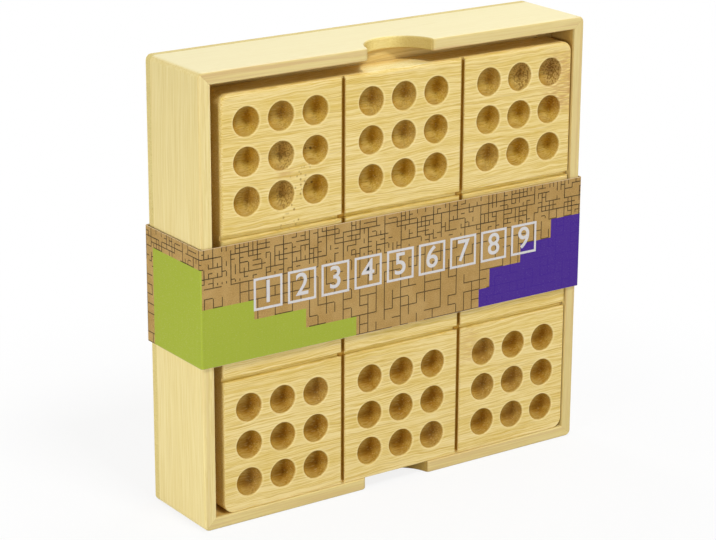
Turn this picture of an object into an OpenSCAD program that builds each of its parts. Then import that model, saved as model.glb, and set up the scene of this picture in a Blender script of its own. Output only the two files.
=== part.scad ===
// Sudoku board: a bamboo tray, a lift-out board of dimples, a store of number balls and a card
// sleeve. It stands on the bottom wall of the tray, with the dimples towards -Y, and its origin
// is on the ground below its middle. Lengths are in millimetres.

/* [Dimples] */
// Diameter of a dimple at the face of the board
dimple_d = 11.8; // [11.2:0.1:14]
// Depth of a dimple
dimple_depth = 5.6; // [3:0.1:5.6]
// Wood between neighbouring dimples of a block
dimple_web = 3.95; // [2:0.05:8]
// Wood between the dimples on either side of a groove, groove included
groove_web = 14.45; // [8:0.05:24]
// Wood from the outermost dimples to the edge of the board
edge_web = 5.6; // [4:0.1:14]

/* [Board] */
// Thickness of the board
board_t = 14; // [10:0.5:20]
// Radius of the corners of the board
board_corner_r = 5; // [2:0.5:12]
// Width of the saw grooves between blocks
groove_w = 1.7; // [1:0.1:3]
// Depth of the saw grooves
groove_d = 2; // [1:0.1:4]
// Free play of the board inside the tray, across and up
board_play = 5; // [2:0.5:8]
// Gap that is left at the right wall, where the loose board has come to rest
board_rest_gap = 0.3; // [0:0.1:1]
// Depth of the face of the board behind the front edge of the tray
board_recess = 0.6; // [0:0.1:3]

/* [Tray] */
// Thickness of the four walls
wall_t = 5; // [4:0.5:9]
// Thickness of the base panel
base_t = 4; // [3:0.5:8]
// Radius of the outer corners of the tray
tray_corner_r = 2.5; // [1:0.5:4]
// Depth of the store behind the board
store_d = 21; // [14:0.5:40]
// Width of the ledge strips that carry the board
ledge_w = 8; // [7:0.5:14]

/* [Finger notches] */
// Width of a finger notch at the front edge, before its shoulders are rounded
notch_w = 31; // [20:1:44]
// Depth of a finger notch behind the front edge
notch_d = 13.5; // [8:0.5:18]
// Radius of the shoulders of a notch
notch_shoulder_r = 2; // [0.5:0.5:4]

/* [Number balls] */
// How much smaller than a dimple a ball is
ball_play = 0.8; // [0.2:0.1:2]
// Gap between a stored ball and what it rests on
ball_gap = 0.2; // [0.1:0.05:0.5]
// Balls in the lowest row of the store
row_n = 13; // [8:1:13]

/* [Card sleeve] */
// Height of the sleeve
sleeve_h = 48; // [30:1:80]
// Thickness of the card
card_t = 0.5; // [0.3:0.1:1.5]
// Gap between the sleeve and the tray
sleeve_gap = 0.4; // [0.2:0.1:1]
// Inner radius of the folds of the sleeve
fold_r = 0.4; // [0.1:0.1:1]
// Width of the glued flap inside the back panel of the sleeve
flap_w = 15; // [8:1:40]

/* [Hidden] */
$fn = 96;

// Colours of the bamboo pieces, the balls and the card
bamboo_wall = [0.90, 0.83, 0.58];
bamboo_board = [0.88, 0.78, 0.52];
bamboo_ledge = [0.84, 0.74, 0.48];
ball_wood = [0.93, 0.84, 0.64];
kraft_card = [0.72, 0.56, 0.33];

// How far a cutting solid passes the face that it cuts
cut_over = 1;

// Dimples: three blocks of three each way
dimple_pitch = dimple_d + dimple_web;
block_pitch = 2*dimple_pitch + dimple_d + groove_web;
dimple_sphere_r = (dimple_d*dimple_d/4 + dimple_depth*dimple_depth)/(2*dimple_depth);
dimple_places = [for (block = [-1:1], cell = [-1:1]) block*block_pitch + cell*dimple_pitch];
groove_places = [-block_pitch/2, block_pitch/2];

// Board and the tray around it
board_w = 2*(block_pitch + dimple_pitch + dimple_d/2 + edge_web);
inner_w = board_w + board_play;
tray_w = inner_w + 2*wall_t;
wall_d = board_recess + board_t + store_d;
tray_d = wall_d + base_t;

// Sleeve: its glued flap lies between the tray and the back panel
sleeve_w = tray_w + 2*(sleeve_gap + card_t);
sleeve_d = tray_d + 2*sleeve_gap + 3*card_t;
sleeve_z = (tray_w - sleeve_h)/2;
sleeve_front = -sleeve_d/2;

// Planes from front to back
tray_front = sleeve_front + card_t + sleeve_gap;
board_front = tray_front + board_recess;
board_back = board_front + board_t;
base_front = tray_front + wall_d;

// Centre of the board: it stands on the bottom wall, near the right one
board_x = inner_w/2 - board_rest_gap - board_w/2;
board_z = wall_t + board_w/2;

// Finger notch: a round bottom with a rounded shoulder on each side
notch_r = (notch_w*notch_w/4 + notch_d*notch_d)/(2*notch_d);
notch_centre = notch_d - notch_r;
shoulder_x = sqrt(pow(notch_r + notch_shoulder_r, 2) - pow(notch_shoulder_r - notch_centre, 2));

// Balls: nine of each number, in rows that fill the store and rest in the gaps of the row below
numbers = 9;
ball_d = dimple_d - ball_play;
store_w = inner_w - 2*ledge_w;
column_pitch = (store_w - ball_d - 2*ball_gap)/(row_n - 1);
row_rise = sqrt(pow(ball_d + ball_gap, 2) - pow(column_pitch/2, 2));
row_pair_n = 2*row_n - 1;
skip_n = 4;

// A flat outline in X and Z, given a thickness along Y
module along_y(from, thickness) {
    translate([0, from + thickness, 0]) rotate([90, 0, 0]) linear_extrude(thickness) children();
}

// Rectangle about the origin with round corners
module round_rect(w, h, r) {
    square([w - 2*r, h], center = true);
    square([w, h - 2*r], center = true);
    for (x = [-1, 1], y = [-1, 1]) translate([x*(w/2 - r), y*(h/2 - r)]) circle(r);
}

// Outer outline of the tray, seen from the front
module tray_outline() {
    translate([0, tray_w/2]) round_rect(tray_w, tray_w, tray_corner_r);
}

// One wall of the tray with mitred ends: turn 0 is the bottom wall, 90 the right one
module mitred_wall(turn) {
    color(bamboo_wall) along_y(tray_front, wall_d) intersection() {
        tray_outline();
        translate([0, tray_w/2]) rotate(turn) translate([0, -tray_w/2])
            polygon([[-tray_w/2, 0], [tray_w/2, 0], [inner_w/2, wall_t], [-inner_w/2, wall_t]]);
    }
}

// Plan of a finger notch, with the front edge of the wall on y = 0
module notch_plan() {
    translate([0, notch_centre]) circle(notch_r);
    difference() {
        polygon([[-shoulder_x, -notch_r], [shoulder_x, -notch_r],
                 [shoulder_x, notch_shoulder_r], [0, notch_centre], [-shoulder_x, notch_shoulder_r]]);
        for (side = [-1, 1]) translate([side*shoulder_x, notch_shoulder_r]) circle(notch_shoulder_r);
    }
}

// Notch through a wall whose lower face is at the height from
module notch_cut(from) {
    translate([0, tray_front, from - cut_over]) linear_extrude(wall_t + 2*cut_over) notch_plan();
}

// Strip of bamboo from the back of the board to the base panel
module ledge(x, z, w, h) {
    color(bamboo_ledge) translate([x, board_back, z]) cube([w, store_d, h]);
}

// Centre of a ball, counted from the left end of the lowest row
function ball_row(i) = 2*floor(i/row_pair_n) + (i % row_pair_n < row_n ? 0 : 1);
function ball_column(i) = i % row_pair_n - (ball_row(i) % 2)*row_n;
function ball_row_length(i) = row_n - ball_row(i) % 2;
function ball_x(i) = (ball_column(i) - (ball_row_length(i) - 1)/2)*column_pitch;
function ball_z(i) = wall_t + ledge_w + ball_gap + ball_d/2 + ball_row(i)*row_rise;
function ball_number(i) = 1 + (skip_n*i) % numbers;

module left_wall() {
    mitred_wall(-90);
}

module right_wall() {
    mitred_wall(90);
}

module top_wall() {
    color(bamboo_wall) difference() {
        mitred_wall(180);
        notch_cut(tray_w - wall_t);
    }
}

module bottom_wall() {
    color(bamboo_wall) difference() {
        mitred_wall(0);
        notch_cut(0);
    }
}

module base_panel() {
    color(bamboo_wall) along_y(base_front, base_t) tray_outline();
}

module left_ledge() {
    ledge(-inner_w/2, wall_t, ledge_w, inner_w);
}

module right_ledge() {
    ledge(inner_w/2 - ledge_w, wall_t, ledge_w, inner_w);
}

module top_ledge() {
    ledge(-store_w/2, wall_t + inner_w - ledge_w, store_w, ledge_w);
}

module bottom_ledge() {
    ledge(-store_w/2, wall_t, store_w, ledge_w);
}

// Board with its dimples and saw grooves
module dimpled_board() {
    color(bamboo_board) translate([board_x, 0, board_z]) difference() {
        along_y(board_front, board_t) round_rect(board_w, board_w, board_corner_r);
        for (x = dimple_places, z = dimple_places)
            translate([x, board_front + dimple_depth - dimple_sphere_r, z]) sphere(dimple_sphere_r);
        for (x = groove_places)
            translate([x - groove_w/2, board_front - cut_over, -board_w/2 - cut_over])
                cube([groove_w, groove_d + cut_over, board_w + 2*cut_over]);
        for (z = groove_places)
            translate([-board_w/2 - cut_over, board_front - cut_over, z - groove_w/2])
                cube([board_w + 2*cut_over, groove_d + cut_over, groove_w]);
    }
}

// The nine balls of one number, resting against the base panel
module number_balls(number) {
    color(ball_wood) for (i = [0:numbers*numbers - 1]) if (ball_number(i) == number)
        translate([ball_x(i), base_front - ball_gap - ball_d/2, ball_z(i)]) sphere(d = ball_d);
}

// Band of card round the tray, with its glued flap inside the back left corner
module card_sleeve() {
    color(kraft_card) translate([0, 0, sleeve_z]) linear_extrude(sleeve_h) {
        difference() {
            round_rect(sleeve_w, sleeve_d, fold_r + card_t);
            round_rect(sleeve_w - 2*card_t, sleeve_d - 2*card_t, fold_r);
        }
        translate([-sleeve_w/2 + card_t/2, sleeve_d/2 - 2*card_t]) square([flap_w + card_t/2, 1.5*card_t]);
    }
}

left_wall();
right_wall();
top_wall();
bottom_wall();
base_panel();
left_ledge();
right_ledge();
top_ledge();
bottom_ledge();
dimpled_board();
for (number = [1:numbers])
    number_balls(number);
card_sleeve();
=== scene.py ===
import math

import bmesh
import bpy
from mathutils import Euler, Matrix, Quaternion, Vector


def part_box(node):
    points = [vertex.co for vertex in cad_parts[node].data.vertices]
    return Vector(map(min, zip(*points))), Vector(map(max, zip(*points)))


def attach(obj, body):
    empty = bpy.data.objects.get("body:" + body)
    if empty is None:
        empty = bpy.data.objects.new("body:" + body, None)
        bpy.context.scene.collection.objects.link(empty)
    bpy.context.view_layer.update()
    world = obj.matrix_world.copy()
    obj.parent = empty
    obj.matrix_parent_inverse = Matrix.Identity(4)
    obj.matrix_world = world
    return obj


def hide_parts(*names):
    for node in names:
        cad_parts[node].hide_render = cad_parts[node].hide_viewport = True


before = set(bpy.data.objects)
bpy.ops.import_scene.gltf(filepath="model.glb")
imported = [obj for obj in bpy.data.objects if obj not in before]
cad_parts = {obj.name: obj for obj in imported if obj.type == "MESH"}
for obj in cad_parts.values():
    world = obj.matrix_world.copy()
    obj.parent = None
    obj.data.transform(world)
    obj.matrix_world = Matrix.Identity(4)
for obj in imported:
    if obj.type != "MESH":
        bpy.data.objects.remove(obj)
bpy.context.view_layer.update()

mm = 0.001
tiny = 0.02*mm  # points this close to a plane lie on it


# small tools for modelling

modelling = {"joinGap": 0.002, "flatAngle": 1, "sharpAngle": 50, "smoothAngle": 38, "normalWeight": 100}


def pick(piece):
    if bpy.context.mode != "OBJECT":
        bpy.ops.object.mode_set(mode="OBJECT")
    bpy.ops.object.select_all(action="DESELECT")
    piece.select_set(True)
    bpy.context.view_layer.objects.active = piece


def editAll(piece):
    pick(piece)
    bpy.ops.object.mode_set(mode="EDIT")
    bpy.ops.mesh.select_all(action="SELECT")


def endEdit():
    bpy.ops.object.mode_set(mode="OBJECT")


def settle():  # the place of the picked piece goes into its mesh
    bpy.ops.object.transform_apply(location=True, rotation=True, scale=True)


def applied(piece, kind, **settings):
    pick(piece)
    modifier = piece.modifiers.new(kind.lower(), kind)
    for key, value in settings.items():
        setattr(modifier, key, value)
    bpy.ops.object.modifier_apply(modifier=modifier.name)


def sharp(edge):
    return edge.calc_face_angle(0) > math.radians(modelling["sharpAngle"])


def allAt(edge, test):
    return all(test(vertex.co) for vertex in edge.verts)


def roundEdges(piece, wanted, radius, steps):
    pick(piece)
    bpy.ops.object.mode_set(mode="EDIT")
    bpy.ops.mesh.select_mode(type="EDGE")
    bpy.ops.mesh.select_all(action="DESELECT")
    sheet = bmesh.from_edit_mesh(piece.data)
    for edge in sheet.edges:
        if wanted(edge):
            edge.select_set(True)
    bmesh.update_edit_mesh(piece.data)
    bpy.ops.mesh.bevel(offset=radius*mm, segments=steps, profile=0.5, affect="EDGES")
    endEdit()


def blockAt(name, low, high):
    bpy.ops.object.select_all(action="DESELECT")
    bpy.ops.mesh.primitive_cube_add(size=1, location=(low + high)/2)
    block = bpy.context.object
    block.name = name
    block.scale = high - low
    settle()
    return block


def copyOfNode(node, name):
    piece = bpy.data.objects.new(name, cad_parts[node].data.copy())
    bpy.context.scene.collection.objects.link(piece)
    piece.data.materials.clear()
    pick(piece)
    bpy.ops.mesh.customdata_custom_splitnormals_clear()
    editAll(piece)
    bpy.ops.mesh.remove_doubles(threshold=modelling["joinGap"]*mm)
    flat = math.radians(modelling["flatAngle"])
    bpy.ops.mesh.dissolve_limited(angle_limit=flat)  # flat faces back in one piece
    endEdit()
    return piece


def cutAway(piece, cutter):
    applied(piece, "BOOLEAN", operation="DIFFERENCE", solver="EXACT", object=cutter)
    bpy.data.objects.remove(cutter)


def finished(piece, material, body, slot, *replaced):
    pick(piece)
    piece.data.materials.clear()
    piece.data.materials.append(material)
    bpy.ops.object.shade_smooth_by_angle(angle=math.radians(modelling["smoothAngle"]))
    applied(piece, "WEIGHTED_NORMAL", keep_sharp=True, weight=modelling["normalWeight"])
    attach(piece, body)
    if replaced:
        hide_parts(*replaced)
    return piece


# shader maths: values as Python expressions, other nodes through add()

class Wire:
    def __init__(self, board, socket):
        self.board, self.socket = board, socket

    def maths(self, operation, first, second):
        return self.board.add("ShaderNodeMath", {"operation": operation}, {0: first, 1: second})

    def __add__(self, other):
        return self.maths("ADD", self, other)

    def __mul__(self, other):
        return self.maths("MULTIPLY", self, other)

    def __sub__(self, other):
        return self.maths("SUBTRACT", self, other)

    def __rsub__(self, other):
        return self.maths("SUBTRACT", other, self)

    def __truediv__(self, other):
        return self.maths("DIVIDE", self, other)

    def __lt__(self, other):
        return self.maths("LESS_THAN", self, other)

    def __gt__(self, other):
        return self.maths("GREATER_THAN", self, other)

    def __abs__(self):
        return self.maths("ABSOLUTE", self, 0)

    def __floor__(self):
        return self.maths("FLOOR", self, 0)

    def larger(self, other):
        return self.maths("MAXIMUM", self, other)

    def smaller(self, other):
        return self.maths("MINIMUM", self, other)

    __radd__ = __add__
    __rmul__ = __mul__


class ShaderBoard:
    def __init__(self, name):
        self.material = bpy.data.materials.new(name)
        self.material.use_nodes = True
        self.nodes = self.material.node_tree.nodes
        self.links = self.material.node_tree.links
        self.shader = self.nodes["Principled BSDF"]

    def add(self, kind, settings, inputs, output=0):
        node = self.nodes.new(kind)
        for key, value in settings.items():
            setattr(node, key, value)
        for key, value in inputs.items():
            self.feed(node.inputs[key], value)
        return Wire(self, node.outputs[output])

    def feed(self, socket, value):
        if isinstance(value, Wire):
            self.links.new(value.socket, socket)
        else:
            socket.default_value = value

    def gloss(self, level):
        self.shader.inputs["Specular IOR Level"].default_value = level

    def places(self):  # millimetres along X, Y and Z of the piece
        here = self.add("ShaderNodeTexCoord", {}, {}, "Object")
        scaled = self.add("ShaderNodeVectorMath", {"operation": "SCALE"}, {0: here, "Scale": 1/mm})
        return [self.add("ShaderNodeSeparateXYZ", {}, {0: scaled}, axis) for axis in "XYZ"]

    def point(self, x, y, z):
        return self.add("ShaderNodeCombineXYZ", {}, {0: x, 1: y, 2: z})

    def noise(self, x, y, z, detail=2, roughness=0.5):
        inputs = {"Vector": self.point(x, y, z), "Scale": 1, "Detail": detail, "Roughness": roughness}
        return self.add("ShaderNodeTexNoise", {}, inputs, "Fac")

    def chance(self, x, y, z):
        return self.add("ShaderNodeTexWhiteNoise", {}, {"Vector": self.point(x, y, z)}, "Value")

    def cells(self, x, y, z):
        inputs = {"Vector": self.point(x, y, z), "Scale": 1, "Randomness": 1}
        return self.add("ShaderNodeTexVoronoi", {}, inputs, "Distance")

    def between(self, value, low, high, first=0, last=1):
        inputs = {"Value": value, "From Min": low, "From Max": high, "To Min": first, "To Max": last}
        return self.add("ShaderNodeMapRange", {"interpolation_type": "SMOOTHSTEP"}, inputs)

    def whole(self, value, low, high):  # nearest whole number within limits
        nearest = self.add("ShaderNodeMath", {"operation": "ROUND"}, {0: value})
        return self.add("ShaderNodeClamp", {}, {"Value": nearest, "Min": low, "Max": high})

    def distance(self, first, second):
        inputs = {0: self.point(first, second, 0)}
        return self.add("ShaderNodeVectorMath", {"operation": "LENGTH"}, inputs, "Value")

    def mixed(self, factor, first, second, blend="MIX"):
        inputs = {"Factor": factor, 6: first, 7: second}  # the colour sockets of a Mix node
        return self.add("ShaderNodeMix", {"data_type": "RGBA", "blend_type": blend}, inputs, 2)

    def finish(self, colour, roughness, height, bumpDepth, bumpStrength):
        self.feed(self.shader.inputs["Base Color"], colour)
        self.feed(self.shader.inputs["Roughness"], roughness)
        inputs = {"Strength": bumpStrength, "Distance": bumpDepth*mm, "Height": height}
        self.feed(self.shader.inputs["Normal"], self.add("ShaderNodeBump", {}, inputs, "Normal"))
        return self.material


# bamboo: pale solid wood whose fibres run along one axis of the piece

wallBamboo = {
    "pale": (0.850, 0.715, 0.345, 1), "mid": (0.770, 0.620, 0.245, 1), "deep": (0.620, 0.470, 0.170, 1),
    "streak": (0.690, 0.505, 0.170, 1), "pore": (0.540, 0.370, 0.120, 1),
    "layer": (0.600, 0.395, 0.165, 1), "paintedTopLight": (0.900, 0.830, 0.520, 1),
    "insideShadeTint": (0.80, 0.66, 0.42, 1),
    "strip": 44, "firstGlue": -25, "ripple": 0.5, "streaks": 0.40, "pores": 0.14,
    "toneRange": (0.15, 0.92), "dash": 0.06, "shine": 0.38, "gloss": 0.24,
}
baseBamboo = {
    "pale": (0.800, 0.660, 0.315, 1), "mid": (0.700, 0.550, 0.222, 1), "streak": (0.620, 0.440, 0.148, 1),
    "pore": (0.490, 0.315, 0.092, 1), "edgeTint": (0.93, 0.93, 0.78, 1),
    "strip": 21, "firstGlue": 4, "ripple": 1.0, "streaks": 0.55, "pores": 0.20,
    "toneRange": (0.15, 0.92), "dash": 0.06, "shine": 0.44, "gloss": 0.24,
}
# the ledges are deeper and browner than the base panel: painted shade for the gap where they sit
ledgeBamboo = {
    "pale": (0.780, 0.600, 0.240, 1), "mid": (0.680, 0.480, 0.140, 1), "streak": (0.560, 0.360, 0.080, 1),
    "pore": (0.400, 0.240, 0.050, 1),
    "strip": 13, "firstGlue": 2, "ripple": 1.0, "streaks": 0.60, "pores": 0.22,
    "toneRange": (0.15, 0.92), "dash": 0.06, "shine": 0.52, "gloss": 0.10,
}
boardBamboo = {
    "pale": (0.865, 0.695, 0.325, 1), "mid": (0.730, 0.530, 0.140, 1), "streak": (0.610, 0.390, 0.065, 1),
    "pore": (0.440, 0.255, 0.045, 1),
    "strip": 20.5, "firstGlue": -7.6, "ripple": 1.4, "streaks": 0.85, "pores": 0.26,
    "toneRange": (0.24, 0.84), "dash": 0.14, "shine": 0.48, "gloss": 0.12,
}
fibreLook = {
    "stripShift": 90, "wander": 5, "seamHalf": 0.07, "seam": 0.22,
    "shares": {"fibre": 0.44, "hair": 0.30, "broad": 0.12, "strip": 0.20},  # of the wood's tone
    "hairShine": 0.14, "bumpDepth": 0.06, "bumpStrength": 0.25,
}


class Bamboo(ShaderBoard):
    def __init__(self, name, look, grain, seed):
        super().__init__(name)
        self.look, self.seed = look, seed
        self.gloss(look["gloss"])
        self.x, self.y, self.z = self.places()
        if grain == "x":
            self.along, self.across, self.deep = self.x, self.z, self.y
        else:
            self.along, self.across, self.deep = self.z, self.y, self.x
        self.layFibres()
        self.colourFibres()

    def layFibres(self):
        look, seed = self.look, self.seed
        along, across, deep = self.along, self.across, self.deep
        fromGlue = across - look["firstGlue"]
        row = math.floor(fromGlue/look["strip"])
        half = look["strip"]/2
        self.seam = abs(fromGlue - row*look["strip"] - half) > (half - fibreLook["seamHalf"])
        self.stripTone = self.chance(row, seed, 0)  # each strip has its own tone and its own fibres
        shift = self.stripTone*fibreLook["stripShift"]
        wander = (self.noise(along*0.016 + shift, across*0.04, deep*0.04, 1) - 0.5)*fibreLook["wander"]
        ripple = (self.noise(along*0.10 + seed, across*0.30, deep*0.30, 1) - 0.5)*look["ripple"]
        self.lane = across + wander + ripple
        self.fibre = self.noise(along*0.026 + shift, self.lane*2.3 + shift, deep*2.3, 4, 0.62)
        self.hair = self.noise(along*look["dash"] + shift, self.lane*6.0, deep*6.0 + seed, 2, 0.6)
        self.broad = self.noise(along*0.006 + shift, self.lane*0.15, deep*0.15, 1)
        bundle = self.cells(along*0.03 + shift, self.lane*1.2, deep*1.2)
        self.bundles = self.between(bundle, 0.10, 0.36, 1, 0)  # lines along the wood, dots on its ends

    def colourFibres(self):
        look, shares = self.look, fibreLook["shares"]
        tone = self.between(self.fibre, 0.36, 0.66)*shares["fibre"]
        tone = tone + self.between(self.hair, 0.32, 0.68)*shares["hair"]
        tone = tone + self.between(self.broad, 0.32, 0.68)*shares["broad"]
        tone = tone + self.stripTone*shares["strip"]
        self.colour = self.mixed(self.between(tone, *look["toneRange"]), look["pale"], look["mid"])
        streaks = self.between(self.fibre*0.65 + self.hair*0.35, 0.51, 0.67)
        self.tint(streaks*look["streaks"], look["streak"])
        self.tint(self.bundles*look["pores"], look["pore"])
        self.tint(self.seam*fibreLook["seam"], look["pore"])
        self.height = self.hair*0.5 + self.fibre*0.5 - self.bundles*0.3

    def tint(self, factor, colour):
        self.colour = self.mixed(factor, self.colour, colour)

    def shade(self, factor, tint):
        self.colour = self.mixed(factor, self.colour, tint, "MULTIPLY")

    def done(self, rougher=0):
        shine = self.look["shine"] + self.between(self.hair, 0.25, 0.75)*fibreLook["hairShine"] + rougher
        depth, strength = fibreLook["bumpDepth"], fibreLook["bumpStrength"]
        return self.finish(self.colour, shine, self.height, depth, strength)


trayLow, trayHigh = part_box("left_wall")
trayMid = (trayLow.z + trayHigh.z)/2
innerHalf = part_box("right_ledge")[1].x  # the ledges stand against the inner faces
litGapCorner = (15, 75)  # painted light: the gap round the board is painted lighter towards the lower right

# how much deeper the wood is all over and on its front edge, how strongly the layers show there,
# how much painted light makes the top paler, and the painted shade tints in the middle and at the sides
# of a notch
wallTones = {
    "left": {"grain": "z", "seed": 3.1, "deeper": 0, "front": 0, "layers": 0.25, "paintedTopLight": 0},
    "right": {"grain": "z", "seed": 5.6, "deeper": 0.55, "front": 0.1, "layers": 0.45, "paintedTopLight": 0},
    "top": {"grain": "x", "seed": 7.4, "deeper": 0, "front": 0.55, "layers": 0.65, "paintedTopLight": 0.7,
            "notch": ((1.00, 0.98, 0.80, 1), (0.72, 0.64, 0.42, 1))},
    "bottom": {"grain": "x", "seed": 9.2, "deeper": 0.15, "front": 0.25, "layers": 0.40, "paintedTopLight": 0,
               "notch": ((0.80, 0.70, 0.46, 1), (0.50, 0.40, 0.20, 1))},
}
notchArc = {"radius": 15.65, "centre": -2.15, "endPores": 0.5}  # of a finger notch, seen from above
mitreLine = {"half": 0.07, "strength": 0.5}


def wallWood(side):
    tones = wallTones[side]
    wood = Bamboo(side + "WallBamboo", wallBamboo, tones["grain"], tones["seed"])
    wood.tint(tones["deeper"], wallBamboo["deep"])
    depth = wood.y - trayLow.y/mm
    height = wood.z - trayMid/mm  # above the middle
    top, inner = trayMid/mm, innerHalf/mm
    onFront = wood.between(depth, 0.5, 1.0, 1, 0)
    wood.tint(onFront*tones["front"], wallBamboo["deep"])
    throughWall = wood.x if tones["grain"] == "z" else wood.z
    layers = wood.noise(wood.along*0.012, throughWall*0.60, tones["seed"], 3, 0.6)
    wood.tint(onFront*wood.between(layers, 0.46, 0.60)*tones["layers"], wallBamboo["layer"])
    # painted light: the top face is paler, as if lit from above
    wood.tint(wood.between(height, top - 0.5, top - 0.1)*tones["paintedTopLight"], wallBamboo["paintedTopLight"])
    # painted shade on the inner faces of the walls in the gap round the board, less towards the lower
    # right
    inside = wood.between(abs(wood.x).larger(abs(height)), inner + 0.1, inner + 0.6, 1, 0)
    inside = inside*wood.between(depth, 0.6, 1.4)*wood.between(wood.x - height, *litGapCorner, 1, 0)
    wood.shade(inside, wallBamboo["insideShadeTint"])
    # painted shade in a finger notch; the pores on its cut sides are real end grain
    if "notch" in tones:
        fromArc = wood.distance(wood.x, depth - notchArc["centre"]) - notchArc["radius"]
        onCut = wood.between(abs(fromArc), 0.3, 0.7, 1, 0)
        notchEndGrainAndShade = wood.between(abs(wood.x), 3, 12)  # painted shade, deepest at the sides of a notch, which are also cut across the fibres
        wood.shade(onCut, wood.mixed(notchEndGrainAndShade, *tones["notch"]))
        wood.tint(onCut*notchEndGrainAndShade*wood.bundles*notchArc["endPores"], wallBamboo["pore"])
    mitre = abs(abs(wood.x) - abs(height)) < mitreLine["half"]  # hairline where two walls meet
    wood.tint(mitre*mitreLine["strength"], wallBamboo["pore"])
    return wood.done()


def baseWood():
    wood = Bamboo("bambooBase", baseBamboo, "x", 11.8)
    outward = abs(wood.x).larger(abs(wood.z - trayMid/mm))
    onEdge = wood.between(outward, trayMid/mm - 1.4, trayMid/mm - 0.7)
    wood.shade(onEdge, baseBamboo["edgeTint"])  # the cut edges are greyer
    return wood.done()


# tray: four mitred walls on a full base panel, with ledges that carry the board

trayShape = {"outerRound": 0.9, "innerRound": 0.4, "baseRound": 1.0, "glueLine": 0.10, "steps": 4,
             "ledgeRound": 0.4, "ledgeSteps": 2}


def arris(edge):  # not a mitre or an edge at the base panel
    onMitre = allAt(edge, lambda p: abs(abs(p.x) - abs(p.z - trayMid)) < tiny)
    return sharp(edge) and not onMitre and not allAt(edge, lambda p: p.y > trayHigh.y - tiny)


def outer(edge):
    middle = (edge.verts[0].co + edge.verts[1].co)/2
    return max(abs(middle.x), abs(middle.z - trayMid)) > innerHalf + 2*mm


for side in wallTones:
    wall = copyOfNode(side + "_wall", side + "Wall")
    roundEdges(wall, lambda e: arris(e) and outer(e), trayShape["outerRound"], trayShape["steps"])
    roundEdges(wall, lambda e: arris(e) and not outer(e), trayShape["innerRound"], trayShape["steps"])
    slot = "wall_upright_grain" if wallTones[side]["grain"] == "z" else "wall_level_grain"
    finished(wall, wallWood(side), "tray", slot, side + "_wall")

basePanel = copyOfNode("base_panel", "basePanel")
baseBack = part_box("base_panel")[1].y
roundEdges(basePanel, lambda e: sharp(e) and allAt(e, lambda p: p.y > baseBack - tiny),
           trayShape["baseRound"], trayShape["steps"])
roundEdges(basePanel, lambda e: sharp(e) and allAt(e, lambda p: p.y < trayHigh.y + tiny),
           trayShape["glueLine"], 1)
finished(basePanel, baseWood(), "tray", "base_bamboo", "base_panel")

ledgeWood = Bamboo("bambooLedge", ledgeBamboo, "x", 17.2).done()
for side in ("left", "right", "top", "bottom"):
    ledge = copyOfNode(side + "_ledge", side + "Ledge")
    roundEdges(ledge, sharp, trayShape["ledgeRound"], trayShape["ledgeSteps"])
    finished(ledge, ledgeWood, "tray", "ledge_bamboo", side + "_ledge")
print("tray walls, base and ledges made")


# board: a slab with saw grooves and 81 milled cups

boardShape = {
    "cornerRound": 4.4, "cornerSteps": 10, "edgeRound": 1.6, "edgeSteps": 6, "lowEdge": 0.28,
    "backRound": 0.8,
    "grooveWide": 1.7, "grooveDeep": 2.0, "grooveFlare": 0.25, "flareDeep": 0.35,
    "cupWide": 11.8, "cupDeep": 5.6, "cupSides": 48, "cupRings": 11,
    "rimRound": 0.40, "rimSteps": 4, "rimTurn": 72, "rimRun": 0.5,
    "cellPitch": 15.75, "blockPitch": 57.75, "joinGap": 0.0005,
}
boardLow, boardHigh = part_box("dimpled_board")
boardMid = (boardLow + boardHigh)/2
boardFace = boardLow.y
boardHalf = (boardHigh.x - boardLow.x)/2

boardFinish = {
    "cupTint": (0.635, 0.535, 0.31, 1), "cupEndGrainShade": (0.53, 0.372, 0.092, 1),
    "grooveLightTint": (1.05, 1.10, 1.00, 1), "grooveEndShadeTint": (0.60, 0.44, 0.16, 1),
    "sidePaintedShade": (1.00, 0.95, 0.84, 1), "sidePaintedLight": (1.07, 1.17, 1.45, 1),
    "rimHighlightColour": (0.91, 0.75, 0.36, 1), "endGrain": (0.70, 0.54, 0.22, 1),
    "ridge": (0.205, 0.100, 0.012, 1), "knot": (0.300, 0.150, 0.015, 1),
    "eye": (0.100, 0.050, 0.010, 1), "stain": (0.600, 0.360, 0.120, 1),
    "rimHighlightStrength": 0.4, "eyeStrength": 0.8, "tornPale": 0.30, "tornRidges": 0.75, "endPores": 0.35,
    "cupRougher": 0.30,
    "cupPaintedShading": (  # painted light and shade in the cups: upper or lower blocks, place in a cup, radius and tint
        (-1, 1.1, -2.3, 4.4, (0.70, 0.53, 0.20, 1)), (-1, 4.3, 0.6, 3.4, (0.93, 0.78, 0.50, 1)),
        (1, 0.6, -1.9, 2.6, (1.28, 1.35, 1.26, 1)), (1, 3.2, -3.9, 3.0, (1.15, 1.26, 1.40, 1)),
        (1, 3.2, 1.0, 3.8, (1.10, 0.98, 0.50, 1))),
    "tornCups": (  # column and row from the middle, and how rough
        (4, 4, 1.0), (3, 4, 0.6), (-3, 3, 0.75), (-3, 2, 0.75)),
    "knots": (  # x, z, half width, half height and strength
        (-51.0, 42.0, 3.4, 15.0, 0.70), (-56.0, 32.0, 5.0, 4.5, 0.6), (-46.0, 52.0, 2.0, 9.0, 0.5)),
    "stains": (
        (80.0, 69.0, 13.0, 16.0, 0.90), (34.5, -38.0, 6.5, 10.0, 0.50), (-56.0, 50.5, 6.0, 2.5, 0.6)),
    "eyes": (  # x, z and radius
        (-40.9, 57.2, 0.65), (-43.3, 57.5, 0.45), (-40.5, 43.4, 0.60), (-42.9, 42.9, 0.45)),
}


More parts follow.
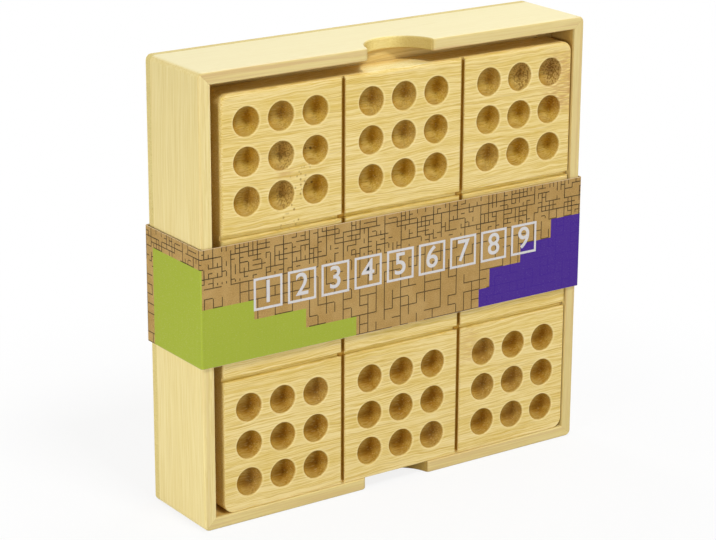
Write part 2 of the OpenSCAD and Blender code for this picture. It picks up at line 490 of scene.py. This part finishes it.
class BoardBamboo(Bamboo):
    def __init__(self):
        super().__init__("bambooBoard", boardBamboo, "x", 23.6)
        self.right, self.up = self.x - boardMid.x/mm, self.z - boardMid.z/mm  # from the middle
        self.depth = self.y - boardFace/mm
        self.findCups()
        self.markFace()
        self.millCups()
        self.sawGrooves()
        self.tintSides()

    def findCups(self):
        offsets, counts = [], []
        for place in (self.right, self.up):
            block = self.whole(place/boardShape["blockPitch"], -1, 1)
            inBlock = place - block*boardShape["blockPitch"]
            cell = self.whole(inBlock/boardShape["cellPitch"], -1, 1)
            offsets.append(inBlock - cell*boardShape["cellPitch"])
            counts.append(block*3 + cell)
        self.aside, self.above = offsets  # from the middle of the nearest cup
        self.column, self.row = counts
        self.luck = self.chance(self.column, self.row, 5)
        radius = self.distance(self.aside, self.above)
        edge = boardShape["cupWide"]/2
        inFront = self.depth < (boardShape["cupDeep"] + 0.3)
        self.inCup = self.between(radius, edge - 0.15, edge + 0.10, 1, 0)*inFront
        # painted highlight: a pale ring on the face round the rim of each cup
        onRim = self.between(radius, edge, edge + 0.3)*self.between(radius, edge + 0.4, edge + 1.1, 1, 0)
        self.tint(onRim*inFront*boardFinish["rimHighlightStrength"], boardFinish["rimHighlightColour"])

    def patch(self, x, z, wide, high, coreWide, coreHigh):  # fades out from its core to its edge
        across = self.between(abs(self.right - x)/wide, coreWide, 1, 1, 0)
        return across*self.between(abs(self.up - z)/high, coreHigh, 1, 1, 0)

    def markFace(self):
        streaky = self.between(self.noise(self.right*0.22, self.lane*1.5, self.depth*1.5, 3), 0.38, 0.60)
        for x, z, wide, high, strength in boardFinish["stains"]:
            self.tint(self.patch(x, z, wide, high, 0.2, 0.5)*streaky*strength, boardFinish["stain"])
        dots = self.between(self.cells(self.right*0.50, self.depth*0.14, self.up*0.45), 0.10, 0.34, 1, 0)
        for x, z, wide, high, strength in boardFinish["knots"]:  # cut fibre ends near a joint of the cane
            self.tint(dots*self.patch(x, z, wide, high, 0.6, 0.8)*strength, boardFinish["knot"])

    def millCups(self):
        fromMiddle = abs(self.aside)  # the end-grain tone, partly painted shade, is deepest part way up the sides
        endGrainAndShade = self.between(fromMiddle, 0.5, 3.4)*self.between(fromMiddle, 3.5, 5.5, 1, 0.25)
        # painted shade: this tone is weaker in the lower part of a cup, where the light falls
        endGrainAndShade = endGrainAndShade*self.between(self.above, -5, -1, 0.5, 1)
        tint = self.mixed(endGrainAndShade, boardFinish["cupTint"], boardFinish["cupEndGrainShade"])
        milled = self.mixed(1, self.colour, tint, "MULTIPLY")
        # painted light and shade: spots lighter or darker where light falls into a cup or the rim shades
        # it
        for band, x, z, wide, shade in boardFinish["cupPaintedShading"]:
            spot = self.between(self.distance(self.aside - x, self.above - z), 0.5, wide, 1, 0)
            milled = self.mixed(spot*self.between(self.up*band, 14, 34), milled, shade, "MULTIPLY")
        ends = self.cells(self.right*0.12, self.lane*1.35, self.depth*1.35 + 3)
        ends = self.between(ends, 0.12, 0.42, 1, 0)
        endSide = self.between(self.aside, -2.5, 2.5)  # the right of a cup is cut across the fibres
        ragged = ends*(0.04 + endSide*(0.12 + self.luck*0.20))
        milled = self.mixed(ragged, milled, boardFinish["endGrain"])
        milled = self.mixed(self.bundles*endSide*boardFinish["endPores"], milled, boardFinish["ridge"])
        torn = self.tornCups()*self.between(self.aside, -1.2, 2.2)
        rough = self.noise((self.right - self.depth)*1.05, self.up*1.25, self.depth*0.4, 2, 0.4)
        ridges = self.between(rough, 0.48, 0.57)*torn  # fibre ends that the cutter tore
        milled = self.mixed(torn*boardFinish["tornPale"], milled, boardFinish["endGrain"])
        milled = self.mixed(ridges*boardFinish["tornRidges"], milled, boardFinish["ridge"])
        self.tint(self.inCup, milled)
        for x, z, size in boardFinish["eyes"]:
            eye = self.between(self.distance(self.right - x, self.up - z), size*0.5, size*1.2, 1, 0)
            self.tint(eye*boardFinish["eyeStrength"], boardFinish["eye"])
        self.height = self.height + self.inCup*(self.hair*0.8 + ends*0.8 - ridges*3)

    def tornCups(self):
        torn = (self.luck > 0.8)*0.30
        for column, row, rough in boardFinish["tornCups"]:
            torn = torn + (abs(self.column - column) < 0.5)*(abs(self.row - row) < 0.5)*rough
        return torn

    def sawGrooves(self):
        inner = boardHalf/mm - 1
        inGroove = self.between(self.depth, 0.3, 0.8)*(self.depth < (boardShape["grooveDeep"] + 0.3))
        inGroove = inGroove*(1 - self.inCup)*(abs(self.right) < inner)*(abs(self.up) < inner)
        # painted light lifts the level grooves; painted shade deepens the upright grooves, whose walls
        # are also cut across the fibres
        uprightGroove = abs(abs(self.right) - boardShape["blockPitch"]/2) < boardShape["grooveWide"]
        sawn = self.mixed(uprightGroove, boardFinish["grooveLightTint"], boardFinish["grooveEndShadeTint"])
        self.shade(inGroove, sawn)

    def tintSides(self):
        core = boardHalf/mm - boardShape["cornerRound"]
        beyond = [(abs(place) - core).larger(0) for place in (self.right, self.up)]
        fromSide = self.distance(*beyond) - boardShape["cornerRound"]
        onSide = self.between(fromSide, -0.6, -0.3)*self.between(self.depth, 0.4, 1.2)
        # painted shade on the sides of the board in the gap, painted light under the top notch and
        # towards the lower right
        underNotch = self.between(abs(self.x), 11, 19, 1, 0)*self.between(self.depth, 7, 11, 1, 0)
        shaded = (1 - underNotch)*self.between(self.right - self.up, *litGapCorner, 1, 0)
        self.shade(onSide, self.mixed(shaded, boardFinish["sidePaintedLight"], boardFinish["sidePaintedShade"]))


def slimArris(slab):  # the front arris is finer towards the bottom
    editAll(slab)
    sheet = bmesh.from_edit_mesh(slab.data)
    core = boardHalf - boardShape["cornerRound"]*mm
    for vertex in sheet.verts:
        depth = vertex.co.y - boardFace
        if depth < boardShape["edgeRound"]*mm + tiny:
            right, up = vertex.co.x - boardMid.x, vertex.co.z - boardMid.z
            outward = Vector((math.copysign(max(abs(right) - core, 0), right), 0,
                              math.copysign(max(abs(up) - core, 0), up)))
            inset = boardShape["cornerRound"]*mm - outward.length
            less = (1 - boardShape["lowEdge"])*(boardHigh.z - vertex.co.z)/(boardHigh.z - boardLow.z)
            vertex.co += outward.normalized()*inset*less - Vector((0, depth*less, 0))
    bmesh.update_edit_mesh(slab.data)
    endEdit()


def makeSlab():
    slab = blockAt("dimpledBoard", boardLow, boardHigh)
    roundEdges(slab, lambda e: abs(e.verts[0].co.y - e.verts[1].co.y) > 1*mm,
               boardShape["cornerRound"], boardShape["cornerSteps"])
    roundEdges(slab, lambda e: sharp(e) and allAt(e, lambda p: p.y < boardFace + tiny),
               boardShape["edgeRound"], boardShape["edgeSteps"])
    slimArris(slab)
    roundEdges(slab, lambda e: sharp(e) and allAt(e, lambda p: p.y > boardHigh.y - tiny),
               boardShape["backRound"], boardShape["edgeSteps"])
    return slab


def cupProfile():  # radius and depth in millimetres, from the bottom of a cup to past its rim
    wide, deep = boardShape["cupWide"]/2, boardShape["cupDeep"]
    ball = (wide*wide + deep*deep)/(2*deep)
    centre = deep - ball  # of the ball, behind the face
    rim = boardShape["rimRound"]
    flareAt = math.sqrt((ball + rim)**2 - (rim - centre)**2)
    lean = math.atan2(rim - centre, flareAt)  # where the cup passes into its rim
    rings, steps = boardShape["cupRings"], boardShape["rimSteps"]
    profile = []
    for i in range(rings + 1):
        angle = math.pi/2 - (math.pi/2 - lean)*i/rings
        profile.append((ball*math.cos(angle), centre + ball*math.sin(angle)))
    last = math.radians(boardShape["rimTurn"])
    for i in range(1, steps + 1):
        angle = lean + (last - lean)*i/steps
        profile.append((flareAt - rim*math.cos(angle), rim - rim*math.sin(angle)))
    endRadius, endDepth = profile[-1]
    run = boardShape["rimRun"]
    profile.append((endRadius + run*math.sin(last), endDepth - run*math.cos(last)))
    return profile


def makeCups():
    profile = cupProfile()
    toFirst = (boardShape["blockPitch"] + boardShape["cellPitch"])*mm
    firstX, firstZ = boardMid.x - toFirst, boardMid.z - toFirst
    radius, depth = profile[-1]
    bpy.ops.object.select_all(action="DESELECT")
    bpy.ops.mesh.primitive_circle_add(vertices=boardShape["cupSides"], radius=radius*mm, fill_type="NGON",
                                      location=(firstX, boardFace + depth*mm, firstZ),
                                      rotation=(math.pi/2, 0, 0))
    cups = bpy.context.object
    cups.name = "cupCutter"
    settle()
    editAll(cups)
    for nextRadius, nextDepth in profile[-2:0:-1]:
        bpy.ops.mesh.extrude_region_move(TRANSFORM_OT_translate={"value": (0, (nextDepth - depth)*mm, 0)})
        ratio = nextRadius/radius
        bpy.ops.transform.resize(value=(ratio, 1, ratio), center_override=(firstX, 0, firstZ))
        radius, depth = nextRadius, nextDepth
    toBottom = (profile[0][1] - depth)*mm
    bpy.ops.mesh.extrude_region_move(TRANSFORM_OT_translate={"value": (0, toBottom, 0)})
    bpy.ops.mesh.merge(type="CENTER")
    bpy.ops.mesh.select_all(action="SELECT")
    bpy.ops.mesh.normals_make_consistent(inside=False)
    endEdit()
    for axis, pitch in ((0, "cellPitch"), (0, "blockPitch"), (2, "cellPitch"), (2, "blockPitch")):
        step = [0, 0, 0]
        step[axis] = boardShape[pitch]*mm
        applied(cups, "ARRAY", count=3, use_relative_offset=False, use_constant_offset=True,
                constant_offset_displace=step)
    return cups


def grooveBlade(upright, side):
    wide, deep, mouth = boardShape["grooveWide"], boardShape["grooveDeep"], boardShape["flareDeep"]
    proud = 1  # how far the blade stands out of the face
    low = Vector((boardMid.x - wide/2*mm, boardFace - proud*mm, boardLow.z - 2*mm))
    high = Vector((boardMid.x + wide/2*mm, boardFace + deep*mm, boardHigh.z + 2*mm))
    blade = blockAt("grooveBlade", low, high)
    editAll(blade)
    bpy.ops.mesh.bisect(plane_co=(0, boardFace + mouth*mm, 0), plane_no=(0, 1, 0))
    sheet = bmesh.from_edit_mesh(blade.data)
    for vertex in sheet.verts:
        vertex.select_set(vertex.co.y < boardFace)
    sheet.select_flush_mode()
    bmesh.update_edit_mesh(blade.data)
    spread = boardShape["grooveFlare"]*(proud + mouth)/mouth
    bpy.ops.transform.resize(value=(1 + 2*spread/wide, 1, 1), center_override=boardMid)
    if not upright:
        bpy.ops.mesh.select_all(action="SELECT")
        bpy.ops.transform.rotate(value=math.pi/2, orient_axis="Y", center_override=boardMid)
    endEdit()
    offset = side*boardShape["blockPitch"]/2*mm
    blade.location = (offset, 0, 0) if upright else (0, 0, offset)
    settle()
    return blade


dimpledBoard = makeSlab()
for upright in (True, False):
    for side in (-1, 1):
        cutAway(dimpledBoard, grooveBlade(upright, side))
cutAway(dimpledBoard, makeCups())
editAll(dimpledBoard)
bpy.ops.mesh.remove_doubles(threshold=boardShape["joinGap"]*mm)
bpy.ops.mesh.dissolve_degenerate(threshold=boardShape["joinGap"]*mm)
endEdit()
boardWood = BoardBamboo()
rougher = boardWood.inCup*boardFinish["cupRougher"]
finished(dimpledBoard, boardWood.done(rougher), "board", "board_bamboo", "dimpled_board")
print("board made:", len(dimpledBoard.data.polygons), "faces")


# card sleeve: one folded band with a glued flap and a row of printed numbers

cardShape = {"inset": 0.05, "thick": 0.42, "foldRound": 0.8, "foldSteps": 3,
             "flapFrom": 0.6, "flapWide": 15, "flapRound": 0.08}
cardPrint = {
    "kraft": (0.500, 0.315, 0.102, 1), "dark": (0.340, 0.195, 0.056, 1), "pale": (0.620, 0.425, 0.175, 1),
    "speck": (0.170, 0.085, 0.025, 1), "edge": (0.700, 0.540, 0.330, 1), "line": (0.040, 0.024, 0.012, 1),
    "green": (0.355, 0.430, 0.042, 1), "greenWorn": (0.430, 0.470, 0.110, 1),
    "violet": (0.055, 0.016, 0.262, 1), "violetWorn": (0.105, 0.060, 0.300, 1),
    "gloss": 0.18, "cloudy": 0.30, "flecks": 0.55, "specks": 0.5, "worn": 0.7,
    "cell": 8.0, "greenRun": 3, "violetRun": 2, "greenSteps": 2.5, "violetSteps": 3.5, "violetFrom": 40,
    "lineWide": 0.44, "lineStrength": 0.85, "outside": -0.35, "sideFrom": 0.6, "backFrom": 15,
    "cutEdge": 0.10,
    "lattices": (  # step, share of lines drawn, and height above the lower edge
        (4.0, 0.56, 0), (2.0, 0.34, 33)),
}
cardLow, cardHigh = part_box("card_sleeve")


class Kraft(ShaderBoard):
    def __init__(self):
        super().__init__("printedKraft")
        self.gloss(cardPrint["gloss"])
        self.x, self.y, self.z = self.places()
        self.height = self.z - cardLow.z/mm
        self.pulp()
        plain = self.colour
        self.lattice()
        self.fields()
        outward = (abs(self.x) - cardHigh.x/mm).larger(abs(self.y) - cardHigh.y/mm)
        self.colour = self.mixed(outward > cardPrint["outside"], plain, self.colour)  # no print inside
        rim = self.height.smaller(cardHigh.z/mm - self.z)
        self.ink(rim < cardPrint["cutEdge"], cardPrint["edge"])

    def ink(self, factor, colour):
        self.colour = self.mixed(factor, self.colour, colour)

    def pulp(self):
        x, y, z = self.x, self.y, self.z
        self.fine = self.noise(x*2.2, y*2.2, z*2.2, 4, 0.65)
        self.fleck = self.noise(x*1.1, y*1.1, z*3.4, 2, 0.6)
        cloud = self.noise(x*0.12, y*0.12, z*0.12, 2)
        self.colour = self.mixed(self.between(self.fine, 0.3, 0.7), cardPrint["dark"], cardPrint["kraft"])
        self.ink(self.between(cloud, 0.3, 0.7)*cardPrint["cloudy"], cardPrint["pale"])
        self.ink(self.between(self.fleck, 0.60, 0.70)*cardPrint["flecks"], cardPrint["pale"])
        speck = self.between(self.cells(x*0.55, y*0.55, z*0.55), 0.05, 0.13, 1, 0)
        self.ink(speck*cardPrint["specks"], cardPrint["speck"])

    def lattice(self):
        onSide = abs(self.x) > (cardHigh.x/mm - cardPrint["sideFrom"])
        run = self.x + onSide*(self.y - self.x)  # the side panels count along Y
        for step, share, above in cardPrint["lattices"]:
            column, line = math.floor(run/step), math.floor(self.height/step)
            bars = (run - column*step < cardPrint["lineWide"])*(self.chance(column, line, step) < share)
            beams = self.height - line*step < cardPrint["lineWide"]
            beams = beams*(self.chance(column, line, -step) < share)
            drawn = bars.larger(beams)*(self.height > above)
            self.ink(drawn*cardPrint["lineStrength"], cardPrint["line"])

    def fields(self):  # stepped fields of colour at the lower corners
        cell = cardPrint["cell"]
        level = math.floor(self.height/cell)
        fromLeft = math.floor((self.x - cardLow.x/mm)/(cardPrint["greenRun"]*cell))
        fromRight = math.floor((cardHigh.x/mm - self.x)/(cardPrint["violetRun"]*cell))
        leftSide = self.x < (cardLow.x/mm + cardPrint["sideFrom"])
        greenHere = (level + fromLeft) < (cardPrint["greenSteps"] + leftSide*2)
        violetHere = (level + fromRight) < cardPrint["violetSteps"]
        worn = self.between(self.fleck, 0.54, 0.70)*cardPrint["worn"]  # ink is thinner on raised fibres
        green = self.mixed(worn, cardPrint["green"], cardPrint["greenWorn"])
        violet = self.mixed(worn, cardPrint["violet"], cardPrint["violetWorn"])
        cover = self.between(self.fine, 0.25, 0.75, 0.94, 1)*(1 - (self.y > cardPrint["backFrom"]))
        self.ink(greenHere*cover, green)
        self.ink(violetHere*(self.x > cardPrint["violetFrom"])*cover, violet)

    def done(self):
        return self.finish(self.colour, 0.78 + self.fine*0.1, self.fine + self.fleck*0.5, 0.05, 0.3)


def makeSleeve():
    inset = Vector((cardShape["inset"], cardShape["inset"], 0))*mm
    sleeve = blockAt("cardSleeve", cardLow + inset, cardHigh - inset)
    roundEdges(sleeve, lambda e: abs(e.verts[0].co.z - e.verts[1].co.z) > 1*mm,
               cardShape["foldRound"], cardShape["foldSteps"])
    bpy.ops.object.mode_set(mode="EDIT")
    bpy.ops.mesh.select_mode(type="FACE")
    bpy.ops.mesh.select_all(action="DESELECT")
    sheet = bmesh.from_edit_mesh(sleeve.data)
    for face in sheet.faces:
        face.select_set(abs(face.normal.z) > 0.9)
    bmesh.update_edit_mesh(sleeve.data)
    bpy.ops.mesh.delete(type="FACE")
    endEdit()
    applied(sleeve, "SOLIDIFY", thickness=cardShape["thick"]*mm, offset=-1, use_even_offset=True)
    backInside = cardHigh.y - (cardShape["inset"] + cardShape["thick"])*mm
    flapFront = backInside - cardShape["thick"]*mm
    flapLow = Vector((cardLow.x + cardShape["flapFrom"]*mm, flapFront, cardLow.z))
    flapHigh = Vector((cardLow.x + cardShape["flapWide"]*mm, backInside, cardHigh.z))
    flap = blockAt("glueFlap", flapLow, flapHigh)
    roundEdges(flap, lambda e: sharp(e) and allAt(e, lambda p: p.x > flapHigh.x - tiny),
               cardShape["flapRound"], 1)
    pick(sleeve)
    flap.select_set(True)
    bpy.ops.object.join()
    return sleeve


finished(makeSleeve(), Kraft().done(), "sleeve", "kraft_card", "card_sleeve")

numberRow = {
    "count": 9, "pitch": 15.75, "square": 13.2, "line": 1.0, "textSize": 13.0, "bold": 0.12,
    "level": 94.5, "ink": 0.03, "joinGap": 0.025, "thinnest": 0.005,
    "white": (0.660, 0.640, 0.635, 1), "worn": (0.560, 0.500, 0.430, 1),
}


def whiteInk():
    board = ShaderBoard("whiteInk")
    x, y, z = board.places()
    fleck = board.noise(x*1.1, y*1.1, z*3.4, 2, 0.6)
    colour = board.mixed(board.between(fleck, 0.52, 0.72), numberRow["white"], numberRow["worn"])
    return board.finish(colour, 0.72 + fleck*0.15, fleck, 0.03, 0.2)


def numeralAt(text, size, place=(0, 0, 0), bold=0, thick=0):  # an upright mesh that faces the front
    bpy.ops.object.select_all(action="DESELECT")
    bpy.ops.object.text_add(location=place, rotation=(math.pi/2, 0, 0))
    numeral = bpy.context.object
    numeral.data.body = text
    numeral.data.align_x, numeral.data.align_y = "CENTER", "CENTER"
    numeral.data.size = size*mm
    numeral.data.offset = bold*mm
    numeral.data.extrude = thick/2*mm
    bpy.ops.object.convert(target="MESH")
    settle()
    return bpy.context.object


def makeNumberRow():
    cardFront = cardLow.y + cardShape["inset"]*mm
    pitch, level, ink = numberRow["pitch"]*mm, numberRow["level"]*mm, numberRow["ink"]
    first = -(numberRow["count"] - 1)/2*pitch
    bpy.ops.object.select_all(action="DESELECT")
    bpy.ops.mesh.primitive_plane_add(size=numberRow["square"]*mm, rotation=(math.pi/2, 0, 0),
                                     location=(first, cardFront, level))
    squares = bpy.context.object
    squares.name = "sleeveNumbers"
    settle()
    editAll(squares)
    bpy.ops.mesh.inset(thickness=numberRow["line"]*mm)
    bpy.ops.mesh.delete(type="FACE")  # the inner face is the one left selected
    endEdit()
    applied(squares, "SOLIDIFY", thickness=ink*mm, offset=1)
    applied(squares, "ARRAY", count=numberRow["count"], use_relative_offset=False,
            use_constant_offset=True, constant_offset_displace=(pitch, 0, 0))
    numerals = []
    for i in range(numberRow["count"]):
        place = (first + i*pitch, cardFront - ink/2*mm, level)
        numerals.append(numeralAt(str(i + 1), numberRow["textSize"], place, numberRow["bold"], ink))
    pick(squares)
    for numeral in numerals:
        numeral.select_set(True)
    bpy.ops.object.join()
    editAll(squares)
    bpy.ops.mesh.remove_doubles(threshold=numberRow["joinGap"]*mm)  # less than the ink is thick
    bpy.ops.mesh.dissolve_degenerate(threshold=numberRow["thinnest"]*mm)
    bpy.ops.mesh.normals_make_consistent(inside=False)
    endEdit()
    return squares


finished(makeNumberRow(), whiteInk(), "sleeve", "kraft_card")
print("sleeve made")


# number balls: nine of each number lie in the store, turned every way

ballFinish = {
    "pale": (0.830, 0.680, 0.420, 1), "mid": (0.730, 0.560, 0.300, 1), "ring": (0.600, 0.430, 0.210, 1),
    "ink": (0.030, 0.024, 0.020, 1), "inkWorn": (0.110, 0.080, 0.055, 1),
    "shine": 0.34, "gloss": 0.40, "rings": 0.45, "textSize": 6.4, "grid": 0.5, "inkThick": 0.03,
    "joinGap": 0.005, "turn": 47,
}
ballLow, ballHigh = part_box("number_1_balls")
ballRadius = (ballHigh.y - ballLow.y)/2


def turnedWood():
    wood = ShaderBoard("turnedWood")
    wood.gloss(ballFinish["gloss"])
    x, y, z = wood.places()
    lean = z + x*0.25
    patch = wood.noise(x*0.06, y*0.06, z*0.06, 1)  # slow enough for each ball to have its own tone
    rings = wood.noise(x*0.12, y*1.1, lean*1.1, 3, 0.6)
    hair = wood.noise(x*0.25, y*5.0, lean*5.0, 2)
    tone = wood.between(rings, 0.35, 0.65)*0.5 + wood.between(hair, 0.3, 0.7)*0.2
    tone = tone + wood.between(patch, 0.35, 0.65)*0.3
    colour = wood.mixed(tone, ballFinish["pale"], ballFinish["mid"])
    colour = wood.mixed(wood.between(rings, 0.55, 0.70)*ballFinish["rings"], colour, ballFinish["ring"])
    return wood.finish(colour, ballFinish["shine"] + hair*0.12, hair, 0.03, 0.2)


def blackInk():
    board = ShaderBoard("blackInk")
    x, y, z = board.places()
    wear = board.noise(x*1.6, y*1.6, z*1.6, 3, 0.6)
    colour = board.mixed(board.between(wear, 0.52, 0.72), ballFinish["ink"], ballFinish["inkWorn"])
    return board.finish(colour, 0.45 + wear*0.2, wear, 0.02, 0.2)


def ballCentres(node):
    editAll(copyOfNode(node, "ballCopy"))
    bpy.ops.mesh.separate(type="LOOSE")
    endEdit()
    centres = []
    for ball in list(bpy.context.selected_objects):
        corners = [Vector(corner) for corner in ball.bound_box]
        centres.append(sum(corners, Vector())/len(corners))
        bpy.data.objects.remove(ball)
    return sorted(centres, key=lambda c: (round(c.z/mm), c.x))


def flatNumeral(number):
    text = str(number) + ("." if number in (6, 9) else "")  # a dot tells a 6 from a 9
    numeral = numeralAt(text, ballFinish["textSize"])
    editAll(numeral)
    cuts = int(ballFinish["textSize"]/2/ballFinish["grid"])
    for axis in (Vector((1, 0, 0)), Vector((0, 0, 1))):  # small faces, so that it can bend round a ball
        for i in range(-cuts, cuts + 1):
            bpy.ops.mesh.select_all(action="SELECT")
            bpy.ops.mesh.bisect(plane_co=axis*i*ballFinish["grid"]*mm, plane_no=axis)
    bpy.ops.mesh.select_all(action="SELECT")
    bpy.ops.mesh.remove_doubles(threshold=ballFinish["joinGap"]*mm)
    endEdit()
    return numeral


def makeNumerals(number, node):
    centres = ballCentres(node)
    first = flatNumeral(number)
    first.name = "numerals" + str(number)
    shape = first.data.copy()
    numerals = [first]
    for i in range(1, len(centres)):
        numeral = bpy.data.objects.new("numeral", shape.copy())
        bpy.context.scene.collection.objects.link(numeral)
        numerals.append(numeral)
    for i, (numeral, centre) in enumerate(zip(numerals, centres)):
        pick(numeral)
        numeral.rotation_euler = (0, math.radians(ballFinish["turn"]*(i + number)), 0)
        numeral.location = centre - Vector((0, 2*ballRadius, 0))
        settle()
    pick(first)
    for numeral in numerals:
        numeral.select_set(True)
    bpy.ops.object.join()
    applied(first, "SHRINKWRAP", target=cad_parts[node], wrap_method="PROJECT",
            wrap_mode="ABOVE_SURFACE", use_project_y=True, use_positive_direction=True,
            offset=ballFinish["inkThick"]/3*mm)
    applied(first, "SOLIDIFY", thickness=ballFinish["inkThick"]*mm, offset=1)
    return first


ballWood, ballInk = turnedWood(), blackInk()
for number in range(1, 10):
    node = "number_" + str(number) + "_balls"
    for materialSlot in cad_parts[node].material_slots:
        materialSlot.material = ballWood
    finished(makeNumerals(number, node), ballInk, "tray", "ball_wood")
print("number balls finished")


# stage, light and camera

stageLook = {"size": 6, "level": 0.0, "grey": 0.50, "white": 0.84, "glow": 0.84, "rough": 0.9,
             "plain": (120, 260)}  # millimetres from the middle over which the floor turns plain white
shownRays = ("Is Camera Ray", "Is Glossy Ray", "Is Transmission Ray")


def whiteFloor():
    board = ShaderBoard("whiteFloor")
    rays = [board.add("ShaderNodeLightPath", {}, {}, kind) for kind in shownRays]
    seen = (rays[0] + rays[1] + rays[2]) > 0.5
    level = seen*(stageLook["white"] - stageLook["grey"]) + stageLook["grey"]
    paint = board.add("ShaderNodeCombineColor", {}, {0: level, 1: level, 2: level})
    board.feed(board.shader.inputs["Base Color"], paint)
    board.shader.inputs["Roughness"].default_value = stageLook["rough"]
    x, y, z = board.places()
    away = board.between(board.distance(x, y), *stageLook["plain"], stageLook["glow"], 1)
    glow = board.add("ShaderNodeEmission", {}, {"Color": (1, 1, 1, 1), "Strength": 1}, "Emission")
    lit = Wire(board, board.shader.outputs["BSDF"])
    surface = board.add("ShaderNodeMixShader", {}, {0: seen*away, 1: lit, 2: glow}, "Shader")
    board.links.new(surface.socket, board.nodes["Material Output"].inputs["Surface"])
    return board.material


bpy.ops.object.select_all(action="DESELECT")
bpy.ops.mesh.primitive_plane_add(size=stageLook["size"], location=(0, 0, stageLook["level"]))
floor = bpy.context.object
floor.name = "floor"
floor.data.materials.append(whiteFloor())

worldLook = {"fill": 0.30, "colour": (1, 1, 1, 1)}
world = bpy.data.worlds.new("whiteRoom")
bpy.context.scene.world = world
world.use_nodes = True
worldNodes, worldLinks = world.node_tree.nodes, world.node_tree.links
backdrop = worldNodes["Background"]
backdrop.inputs["Color"].default_value = worldLook["colour"]
rays = worldNodes.new("ShaderNodeLightPath")
levels = worldNodes.new("ShaderNodeMapRange")
levels.inputs["To Min"].default_value = worldLook["fill"]
levels.inputs["To Max"].default_value = 1
seen = rays.outputs[shownRays[0]]
for kind in shownRays[1:]:
    either = worldNodes.new("ShaderNodeMath")
    either.operation = "MAXIMUM"
    worldLinks.new(seen, either.inputs[0])
    worldLinks.new(rays.outputs[kind], either.inputs[1])
    seen = either.outputs[0]
worldLinks.new(seen, levels.inputs["Value"])
worldLinks.new(levels.outputs[0], backdrop.inputs["Strength"])

lampAim = Vector((0, 0, 0.09))
lampLook = {
    "frontTop": {"place": (-0.03, -0.54, 1.05), "power": 6.2, "size": (0.24, 0.24)},
    "rightFront": {"place": (0.62, -0.91, 0.10), "power": 2.8, "size": (0.14, 0.14)},
    "leftFront": {"place": (-0.99, -0.43, 0.29), "power": 2.5, "size": (0.18, 0.18)},
    "leftSide": {"place": (-0.42, -0.05, 0.04), "power": 0.46, "size": (0.24, 0.06)},
    "topBack": {"place": (0.30, 0.06, 0.75), "power": 1.1, "size": (0.30, 0.30)},
    "behind": {"place": (0, 1.05, 0.20), "power": 5.4, "size": (0.16, 0.16)},
}
for name, lamp in lampLook.items():
    facing = (lampAim - Vector(lamp["place"])).to_track_quat("-Z", "Y")
    bpy.ops.object.light_add(type="AREA", location=lamp["place"], rotation=facing.to_euler())
    light = bpy.context.object
    light.name = name
    light.data.shape = "RECTANGLE"
    light.data.size, light.data.size_y = lamp["size"]
    light.data.energy = lamp["power"]
    light.visible_camera = False

cameraView = {"aim": (-0.00532, 0.00131, 0.08713), "turn": 34.69, "rise": 17.99, "roll": 0.27,
              "distance": 0.98808, "lens": 121.59, "sensor": 36}
lean, turn = math.radians(90 - cameraView["rise"]), -math.radians(cameraView["turn"])
facing = Euler((lean, 0, turn)).to_quaternion()
away = facing @ Vector((0, 0, cameraView["distance"]))
bpy.ops.object.camera_add(location=Vector(cameraView["aim"]) + away)
camera = bpy.context.object
camera.rotation_mode = "QUATERNION"
camera.rotation_quaternion = facing @ Quaternion((0, 0, 1), math.radians(cameraView["roll"]))
camera.data.lens = cameraView["lens"]
camera.data.sensor_width = cameraView["sensor"]
bpy.context.scene.camera = camera
bpy.context.scene.view_settings.view_transform = "Standard"
print("stage, light and camera set")
